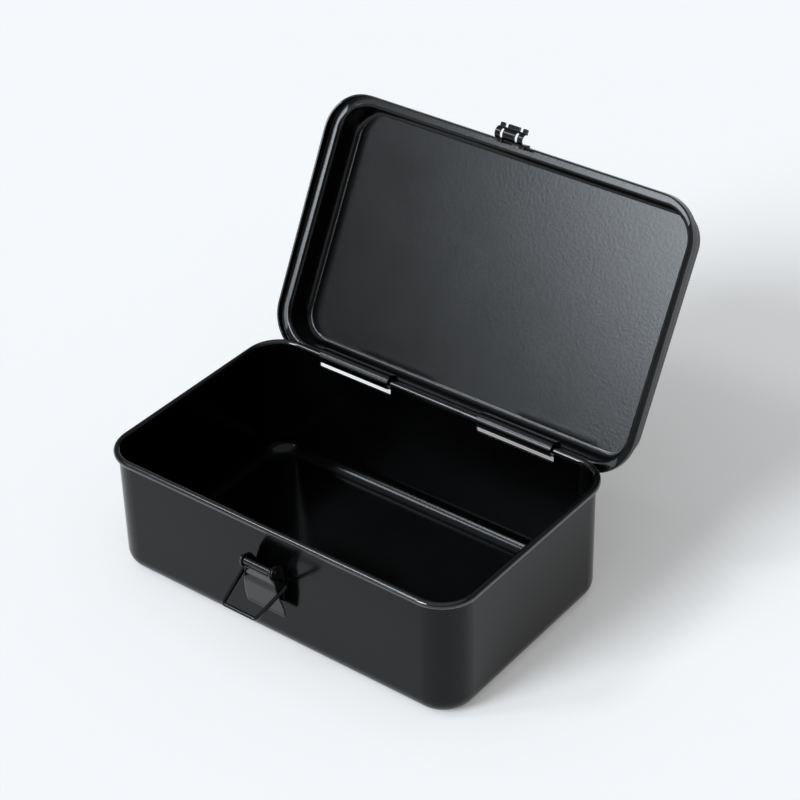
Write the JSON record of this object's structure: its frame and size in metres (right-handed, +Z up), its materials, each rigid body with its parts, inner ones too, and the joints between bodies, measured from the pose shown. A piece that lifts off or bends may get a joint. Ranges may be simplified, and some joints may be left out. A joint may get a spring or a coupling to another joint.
{
  "type": "metal lunch box",
  "caption": "Pressed steel lunch box with rounded corners, a rolled rim, a hinged shallow lid on curled straps and a wire-loop draw latch in front.",
  "frame": {"origin": "centre of the tray's flat bottom face", "axes": "+Z up, +X along the long side, the latch faces -Y and the hinges are at +Y"},
  "size_m": [0.2054, 0.2189, 0.1798],
  "materials": {
    "box_paint": "satin black baked paint",
    "fittings_paint": "semi-gloss black paint"
  },
  "bodies": {
    "tray": {"tray": "box_paint", "latch_base": "fittings_paint", "latch_pin": "fittings_paint"},
    "lid": {"lid": "box_paint", "hinge_strap_left": "fittings_paint", "hinge_strap_right": "fittings_paint", "keeper": "fittings_paint"},
    "lever": {"latch_lever": "fittings_paint"},
    "loop": {"latch_loop": "fittings_paint"}
  },
  "joints": [
    {"name": "lid_hinge", "type": "hinge", "parent": "tray", "child": "lid", "pos_m": [0, 0.06118, 0.0617], "axis": [1, 0, 0], "range_deg": [0, 118.4]},
    {"name": "lever_pivot", "type": "hinge", "parent": "tray", "child": "lever", "pos_m": [0, -0.0682, 0.048], "axis": [1, 0, 0], "range_deg": [-148, 0]},
    {"name": "loop_pivot", "type": "hinge", "parent": "lever", "child": "loop", "pos_m": [0, -0.0628, 0.0395], "axis": [1, 0, 0], "range_deg": [-97.3, 30]}
  ]
}
